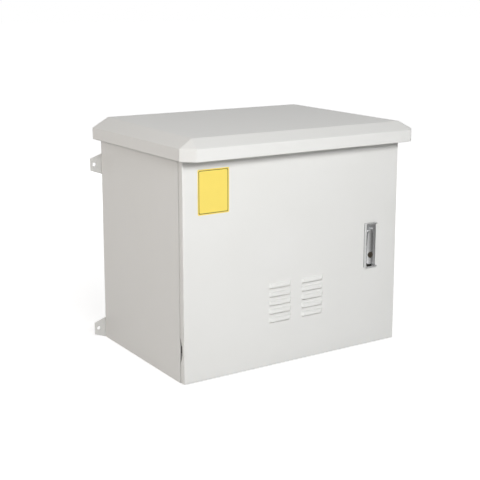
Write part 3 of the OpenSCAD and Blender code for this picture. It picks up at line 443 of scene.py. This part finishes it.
def rounded_path(low, high, radius, steps=8):
    """Points and outward directions round a rectangle in x and z with round corners."""
    path = []
    corners = ((high[0], high[1], 0), (low[0], high[1], 90), (low[0], low[1], 180), (high[0], low[1], 270))
    for x, z, turn in corners:
        middle_x = x - math.copysign(radius, x - (low[0] + high[0]) / 2)
        middle_z = z - math.copysign(radius, z - (low[1] + high[1]) / 2)
        for step in range(steps + 1):
            heading = math.radians(turn + 90 * step / steps)
            out = (math.cos(heading), math.sin(heading))
            path.append(((middle_x + radius * out[0], middle_z + radius * out[1]), out))
    return path


class CABINET_OT_sheet_metal(bpy.types.Operator):
    """Powder-coats the folded sheet metal and rounds its folds"""
    bl_idname = "cabinet.sheet_metal"
    bl_label = "Sheet Metal"

    def execute(self, context):
        colours, sizes = context.scene.cabinet_colours, context.scene.cabinet_sizes
        paint = powder_coat(colours, sizes)
        for name, obj in nodes_of("powder_coat").items():
            dress(obj, paint)
            if name == "rain_hood":
                soften(obj, sizes.fold, segments=3, degrees=HOOD_FOLD_ANGLE)
            elif name == "door_panel":
                shade_folds(obj)
            else:
                soften(obj, sizes.edge)
        return {"FINISHED"}


class CABINET_OT_plated_steel(bpy.types.Operator):
    """Zinc-plates the rails, plates, bolts, nuts and pins, and darkens the lower hinge and lock barrel; the
    dark hinge also paints the shade inside its notch
    """
    bl_idname = "cabinet.plated_steel"
    bl_label = "Plated Steel"

    def execute(self, context):
        colours = context.scene.cabinet_colours
        for slot, plate in (("zinc", zinc_plate(colours)), ("dark_zinc", passivated_zinc_and_painted_shade(colours))):
            for obj in nodes_of(slot).values():
                dress(obj, plate)
        return {"FINISHED"}


class CABINET_OT_handle(bpy.types.Operator):
    """Chromes the swing handle and finishes the brass of its lock core and of the earth stud"""
    bl_idname = "cabinet.handle"
    bl_label = "Handle"

    def execute(self, context):
        colours, sizes = context.scene.cabinet_colours, context.scene.cabinet_sizes
        chrome = chrome_plate(colours)
        for name, obj in nodes_of("chrome").items():
            dress(obj, chrome)
            soften(obj, sizes.cast_edge, flatten=False, clamp=name in ("lever", "handle_spindle"))
        dress(frame["nodes"]["lock_core"], turned_brass("tarnished_lock_brass", colours.lock_brass))
        dress(frame["nodes"]["earth_stud"], turned_brass("turned_brass", colours.brass))
        return {"FINISHED"}


class CABINET_OT_polymers(bpy.types.Operator):
    """Finishes the rubber grommets and gasket and the nylon bush and pad"""
    bl_idname = "cabinet.polymers"
    bl_label = "Rubber and Nylon"

    def execute(self, context):
        colours = context.scene.cabinet_colours
        rubber = black_polymer("moulded_rubber", colours.rubber, grain_mm=0.8, depth_mm=0.05, rough=0.7)
        nylon = black_polymer("moulded_nylon", colours.nylon, grain_mm=0.6, depth_mm=0.03, rough=0.5)
        for slot, material in (("rubber", rubber), ("plastic", nylon)):
            for obj in nodes_of(slot).values():
                dress(obj, material)
        return {"FINISHED"}


class CABINET_OT_door_seal(bpy.types.Operator):
    """Foams the door seal: one domed bead in a ring inside the door"""
    bl_idname = "cabinet.door_seal"
    bl_label = "Door Seal"

    # Steps across the bead's dome, and a power under 1 that makes the dome fuller than a half ellipse.
    dome_steps = 10
    dome_power = 0.7

    def execute(self, context):
        colours, sizes = context.scene.cabinet_colours, context.scene.cabinet_sizes
        low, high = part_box("door_seal")
        half = sizes.seal_width / 2
        path = rounded_path((low[0] + half, low[2] + half), (high[0] - half, high[2] - half),
                            sizes.seal_corner)
        dome = self.dome(half, high[1] - low[1])
        points, faces = [], []
        for (x, z), out in path:
            points += [(x + out[0] * across, low[1] + up, z + out[1] * across) for across, up in dome]
        count = len(dome)
        for ring in range(len(path)):
            here = ring * count
            there = (ring + 1) % len(path) * count
            for i in range(count):
                j = (i + 1) % count
                faces.append((here + i, here + j, there + j, there + i))
        foam = black_polymer("foamed_polyurethane", colours.foam, grain_mm=1.1, depth_mm=0.12, rough=0.85)
        bead = new_piece("door_seal_bead", points, faces, "door", [foam])
        smooth(bead)
        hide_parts("door_seal")
        return {"FINISHED"}

    def dome(self, half, rise):
        """The bead's section: distances across it and heights above the door."""
        turns = [math.pi * i / self.dome_steps for i in range(self.dome_steps + 1)]
        return [(half * math.cos(turn), rise * math.sin(turn) ** self.dome_power) for turn in turns]


class CABINET_OT_filter_mat(bpy.types.Operator):
    """Lays the fleece filter mat: a crowned pad with a hairy, uneven face"""
    bl_idname = "cabinet.filter_mat"
    bl_label = "Filter Mat"

    columns = 72
    rows = 48
    # The frame pinches the rim: the share of the thickness that the free face sinks there, how much of that
    # the door's side rises, how far in it reaches as a share of the width, and about the mat's height as a
    # share of its width.
    pinch = 0.4
    pinch_at_door = 0.2
    pinch_reach = 0.02
    height_share = 0.6
    # Lumps of the free face: how many to a metre, and their depth as a share of the thickness.
    lumps_per_m = 90
    lump_depth = 0.12

    def execute(self, context):
        low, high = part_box("filter_mat")
        grid = [(side, c / self.columns, r / self.rows)
                for side in (0, 1) for r in range(self.rows + 1) for c in range(self.columns + 1)]
        points = [self.point(low, high, side, u, v) for side, u, v in grid]
        fleece = filter_fleece(context.scene.cabinet_colours)
        pad = new_piece("filter_fleece_pad", points, self.faces(), "door", [fleece])
        smooth(pad)
        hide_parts("filter_mat")
        return {"FINISHED"}

    def point(self, low, high, side, u, v):
        """A point of the door's side, 0, or the free side, 1, at shares of the mat's width and height."""
        inward = min(u, 1 - u, v * self.height_share, (1 - v) * self.height_share)
        crown = 1 - self.pinch * math.exp(-inward / self.pinch_reach)
        x = low[0] + u * (high[0] - low[0])
        z = low[2] + v * (high[2] - low[2])
        thick = high[1] - low[1]
        lump = 0.5 + 0.5 * noise.noise(Vector((x, side, z)) * self.lumps_per_m)
        depth = thick * (1 - self.lump_depth * lump) * crown
        return (x, low[1] + (depth if side else (1 - crown) * self.pinch_at_door * thick), z)

    def faces(self):
        """Faces of both sides, then of the rim between them."""
        wide = self.columns + 1
        sheet = wide * (self.rows + 1)
        faces = []
        for r in range(self.rows):
            for c in range(self.columns):
                a = r * wide + c
                faces.append((a, a + 1, a + wide + 1, a + wide))
                faces.append((sheet + a, sheet + a + wide, sheet + a + wide + 1, sheet + a + 1))
        rim = list(range(wide))
        rim += [r * wide + self.columns for r in range(1, self.rows + 1)]
        rim += [self.rows * wide + c for c in range(self.columns - 1, -1, -1)]
        rim += [r * wide for r in range(self.rows - 1, 0, -1)]
        for here, there in zip(rim, rim[1:] + rim[:1]):
            faces.append((here, sheet + here, sheet + there, there))
        return faces


class CABINET_OT_label(bpy.types.Operator):
    """Sticks a blank label with a border line on the door"""
    bl_idname = "cabinet.label"
    bl_label = "Blank Label"

    # Bands of the label from its back edge inwards.
    bands = ("edge", "margin", "border")

    def execute(self, context):
        colours, sizes = context.scene.cabinet_colours, context.scene.cabinet_sizes
        door_low, door_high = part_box("door_panel")
        left = door_low[0] + sizes.label_side
        top = door_high[2] - sizes.label_top
        # The handle's gasket lies on the door's front face.
        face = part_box("handle_gasket")[1][1]
        outlines = []
        for inset in (0, sizes.border_start, sizes.border_end):
            path = rounded_path((left + inset, top - sizes.label_height + inset),
                                (left + sizes.label_width - inset, top - inset), sizes.label_corner)
            outlines.append([place for place, out in path])
        count = len(outlines[0])
        points = [(x, face, z) for x, z in outlines[0]]
        points += [(x, face - sizes.label_thick, z) for outline in outlines for x, z in outline]
        faces, prints = [], []
        for band, kind in enumerate(self.bands):
            here = band * count
            there = here + count
            for i in range(count):
                j = (i + 1) % count
                faces.append((here + i, here + j, there + j, there + i))
                prints.append(int(kind == "border"))
        inside = len(self.bands) * count
        faces.append(tuple(range(inside, inside + count)))
        faces.append(tuple(reversed(range(count))))
        prints += [0, 0]
        films = [label_film("label_film", colours.label),
                 label_film("label_border_print", colours.label_border)]
        label = new_piece("blank_label", points, faces, "door", films)
        for polygon, film in zip(label.data.polygons, prints):
            polygon.material_index = film
        return {"FINISHED"}


class CABINET_OT_stage(bpy.types.Operator):
    """Sets the floor, the white surroundings, the lamps and the camera"""
    bl_idname = "cabinet.stage"
    bl_label = "Studio Stage"

    # The floor reaches this far each way, this far below the cabinet, in metres.
    floor_reach = 30
    floor_drop = 0.5 * MM
    # Distances from the cabinet's middle between which the light added to the seen floor rises, in metres,
    # and its strength at both.
    floor_near = 0.5
    floor_far = 1.6
    floor_lift_near = 0.66
    floor_lift_far = 0.9
    # The lamps aim at a point near the cabinet's middle.
    lamp_aim = Vector((0, 0, 0.28))
    # The cards stand on a circle round the handle, in metres.
    card_middle = Vector((0.215, -0.18, 0))
    card_radius = 0.65
    card_height = 0.9
    card_steps = 24

    def execute(self, context):
        scene, stage = context.scene, context.scene.cabinet_stage
        scene.view_settings.view_transform = "Standard"
        self.floor(scene, scene.cabinet_colours)
        self.surroundings(scene, stage)
        warm = linear("#FFF6EE")
        for name, place, size, power, rgb in (
                ("front_softbox", (-0.4, -2.0, 1.2), (1.4, 0.45), stage.key, WHITE),
                ("top_softbox", (0, -0.1, 2.2), (1.6, 1.6), stage.overhead, WHITE),
                ("left_softbox", (-2.3, 0.1, 1.2), (0.9, 0.6), stage.left, warm),
                ("right_softbox", (2.6, 0.2, 0.6), (1.4, 1.0), stage.right, WHITE),
                ("back_softbox", (0.3, 2.6, 0.8), (1.4, 1.0), stage.behind, WHITE)):
            self.lamp(scene, name, place, size, power, rgb)
        edge = self.lamp(scene, "edge_softbox", (-1.47, -1.8, 0.9), (0.8, 0.8), stage.edge, WHITE)
        self.gloss_only(edge, ("door_panel", "lever", "handle_spindle"))
        self.card(scene, "dark_flag", turns=(-5, 95), fade=(0.27, 0.8), greys=(0.85, 0.15))
        self.card(scene, "grey_flag", turns=(-22, -95), fade=(-0.03, -0.42), greys=(0.9, 0.35))
        self.camera(scene, stage)
        return {"FINISHED"}

    def camera(self, scene, stage):
        """A camera at the photograph's angle, distance and framing."""
        camera = bpy.data.objects.new("camera", bpy.data.cameras.new("camera"))
        camera.data.lens = stage.lens
        camera.data.sensor_width = SENSOR_MM
        camera.data.shift_y = stage.shift
        level = math.cos(stage.elevation)
        back = Vector((-math.sin(stage.azimuth) * level, -math.cos(stage.azimuth) * level,
                       math.sin(stage.elevation)))
        turn = back.to_track_quat("Z", "Y").to_matrix().to_4x4()
        camera.matrix_world = Matrix.Translation(Vector(stage.target) + back * stage.distance) @ turn
        scene.collection.objects.link(camera)
        scene.camera = camera

    def lamp(self, scene, name, place, size, power, rgb):
        """A flat lamp aimed at the cabinet; mirrors show the white surroundings in its place."""
        light = bpy.data.lights.new(name, "AREA")
        light.shape = "RECTANGLE"
        light.size, light.size_y = size
        light.energy = power
        light.color = rgb
        obj = bpy.data.objects.new(name, light)
        obj.visible_glossy = False
        turn = (Vector(place) - self.lamp_aim).to_track_quat("Z", "Y").to_matrix().to_4x4()
        obj.matrix_world = Matrix.Translation(place) @ turn
        scene.collection.objects.link(obj)
        return obj

    def gloss_only(self, lamp, names):
        """Keeps a lamp to the gloss of a few pieces, where it marks folds, louvre ends and round metal."""
        lamp.visible_glossy = True
        lamp.visible_diffuse = False
        pieces = bpy.data.collections.new("edge_lit_pieces")
        for name in names:
            pieces.objects.link(frame["nodes"][name])
        lamp.light_linking.receiver_collection = pieces

    def card(self, scene, name, turns, fade, greys):
        """A curved card that only mirrors see, because chrome needs something dark to show.

        It runs between two turns round the handle, in degrees, and fades from one grey to the other
        between two values of x.
        """
        material, tree, shader, place = start_material("shaded_studio_card")
        split = add(tree, "ShaderNodeSeparateXYZ", None, {"Vector": place})
        blend = add(tree, "ShaderNodeMapRange", {"From Min": fade[0], "From Max": fade[1]},
                    {"Value": split.outputs["X"]})
        start, end = [rgba((grey,) * 3) for grey in greys]
        tint = add(tree, "ShaderNodeMix", {"data_type": "RGBA", 6: start, 7: end},
                   {0: blend.outputs["Result"]})
        shader.inputs["Roughness"].default_value = 1
        feed(tree, shader, tint)
        foot = []
        for i in range(self.card_steps + 1):
            turn = math.radians(turns[0] + (turns[1] - turns[0]) * i / self.card_steps)
            foot.append(self.card_middle + self.card_radius * Vector((math.sin(turn), -math.cos(turn), 0)))
        head = [point + Vector((0, 0, self.card_height)) for point in foot]
        above = len(foot)
        faces = [(i, i + 1, above + i + 1, above + i) for i in range(self.card_steps)]
        obj = self.stage_piece(scene, name, foot + head, faces, material)
        obj.visible_camera = False
        obj.visible_diffuse = False
        obj.visible_shadow = False

    def seen(self, tree):
        """One where a camera, mirror or glass ray arrives, and nought for light on matt surfaces."""
        path = add(tree, "ShaderNodeLightPath")
        either = add(tree, "ShaderNodeMath", {"operation": "MAXIMUM"},
                     {0: path.outputs["Is Camera Ray"], 1: path.outputs["Is Glossy Ray"]})
        return add(tree, "ShaderNodeMath", {"operation": "MAXIMUM"},
                   {0: either.outputs[0], 1: path.outputs["Is Transmission Ray"]}).outputs[0]

    def surroundings(self, scene, stage):
        """White where it is seen, and an even light elsewhere."""
        world = bpy.data.worlds.new("white_surroundings")
        world.use_nodes = True
        scene.world = world
        tree = world.node_tree
        strength = add(tree, "ShaderNodeMapRange", {"To Min": stage.ambient, "To Max": 1.0},
                       {"Value": self.seen(tree)})
        tree.nodes["Background"].inputs["Color"].default_value = rgba(WHITE)
        tree.links.new(strength.outputs["Result"], tree.nodes["Background"].inputs["Strength"])

    def floor(self, scene, colours):
        """A pale floor that keeps the shadow and is lifted to white where it is seen."""
        material, tree, shader, place = start_material("matt_studio_floor")
        grain = add(tree, "ShaderNodeTexNoise", {"Scale": per_mm(300), "Detail": 2.0}, {"Vector": place})
        dark = scaled(colours.floor, 0.985)
        tint = add(tree, "ShaderNodeMix", {"data_type": "RGBA", 6: rgba(dark), 7: rgba(colours.floor)},
                   {0: grain.outputs["Fac"]})
        away = add(tree, "ShaderNodeVectorMath", {"operation": "LENGTH"}, {0: place})
        rise = add(tree, "ShaderNodeMapRange",
                   {"From Min": self.floor_near, "From Max": self.floor_far,
                    "To Min": self.floor_lift_near, "To Max": self.floor_lift_far},
                   {"Value": away.outputs["Value"]})
        lift = add(tree, "ShaderNodeMath", {"operation": "MULTIPLY"},
                   {0: self.seen(tree), 1: rise.outputs["Result"]})
        shader.inputs["Roughness"].default_value = 1
        shader.inputs["Specular IOR Level"].default_value = 0
        shader.inputs["Emission Color"].default_value = rgba(WHITE)
        feed(tree, shader, tint)
        tree.links.new(lift.outputs[0], shader.inputs["Emission Strength"])
        reach = self.floor_reach
        level = CAD_BOX[0][2] - self.floor_drop
        corners = [(-reach, -reach, level), (reach, -reach, level),
                   (reach, reach, level), (-reach, reach, level)]
        self.stage_piece(scene, "studio_floor", corners, [(0, 1, 2, 3)], material)

    def stage_piece(self, scene, name, points, faces, material):
        """A mesh object that belongs to the stage."""
        mesh = bpy.data.meshes.new(name)
        mesh.from_pydata(points, [], faces)
        mesh.materials.append(material)
        obj = bpy.data.objects.new(name, mesh)
        scene.collection.objects.link(obj)
        return obj


OPERATORS = (
    CABINET_OT_sheet_metal,
    CABINET_OT_plated_steel,
    CABINET_OT_handle,
    CABINET_OT_polymers,
    CABINET_OT_door_seal,
    CABINET_OT_filter_mat,
    CABINET_OT_label,
    CABINET_OT_stage,
)
GROUPS = {"cabinet_colours": CabinetColours, "cabinet_sizes": CabinetSizes, "cabinet_stage": CabinetStage}


class CABINET_PT_sidebar(bpy.types.Panel):
    """Lists the steps that dress the cabinet"""
    bl_idname = "CABINET_PT_sidebar"
    bl_label = "Outdoor Cabinet"
    bl_space_type = "VIEW_3D"
    bl_region_type = "UI"
    bl_category = "Cabinet"

    def draw(self, context):
        for operator in OPERATORS:
            self.layout.operator(operator.bl_idname)
        for name in GROUPS:
            group = getattr(context.scene, name)
            box = self.layout.box()
            for key in group.__annotations__:
                box.prop(group, key)


def register():
    for cls in (*GROUPS.values(), *OPERATORS, CABINET_PT_sidebar):
        bpy.utils.register_class(cls)
    for name, cls in GROUPS.items():
        setattr(bpy.types.Scene, name, PointerProperty(type=cls))


def unregister():
    for name in GROUPS:
        delattr(bpy.types.Scene, name)
    for cls in (CABINET_PT_sidebar, *reversed(OPERATORS), *reversed(GROUPS.values())):
        bpy.utils.unregister_class(cls)


def main():
    register()
    for operator in OPERATORS:
        group, name = operator.bl_idname.split(".")
        getattr(getattr(bpy.ops, group), name)()


if __name__ == "__main__":
    main()
